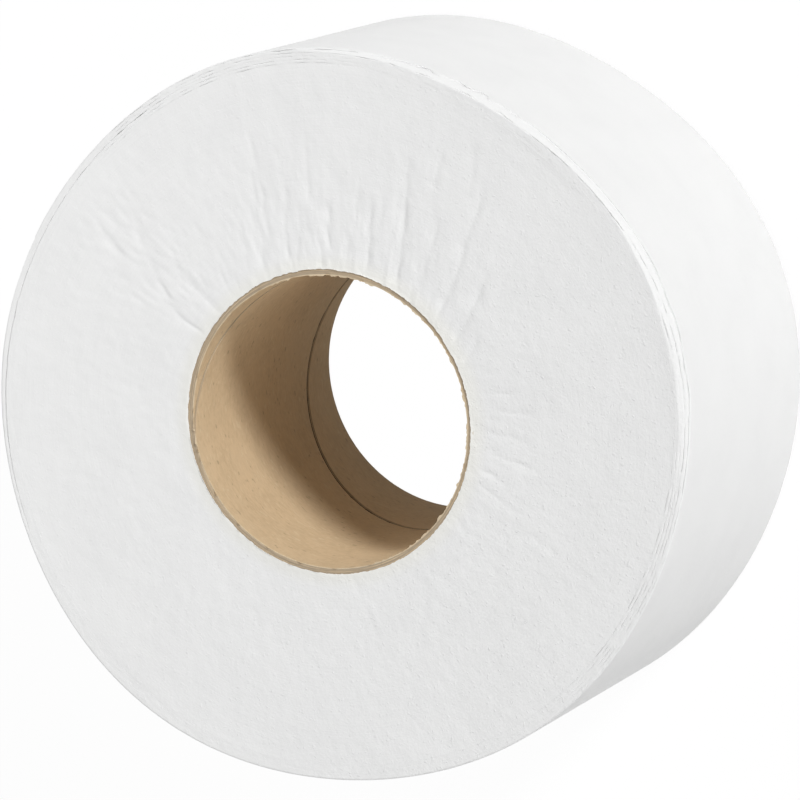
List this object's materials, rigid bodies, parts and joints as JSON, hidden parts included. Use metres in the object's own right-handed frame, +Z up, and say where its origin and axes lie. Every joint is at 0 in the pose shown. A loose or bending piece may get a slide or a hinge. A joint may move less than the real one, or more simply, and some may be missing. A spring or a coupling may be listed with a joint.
{
  "type": "toilet paper roll",
  "caption": "Wide roll of white tissue wound on a brown board tube, standing on its end, with loose outer turns and wrinkles that fan out from the open bore a dispenser spindle goes through.",
  "frame": {"origin": "on the bore's axis at the lower end, which the roll stands on", "axes": "+Z up along the bore, towards the wrinkled end; -Y towards the side where the soft roll bulges most"},
  "size_m": [0.1894, 0.1914, 0.09],
  "materials": {
    "tissue": "soft matte two-ply tissue, saw-cut and fuzzy on the ends",
    "kraft_board": "raw spiral-wound board, matte"
  },
  "bodies": {
    "root": {"wound_paper": "tissue", "core_tube": "kraft_board"}
  },
  "joints": []
}
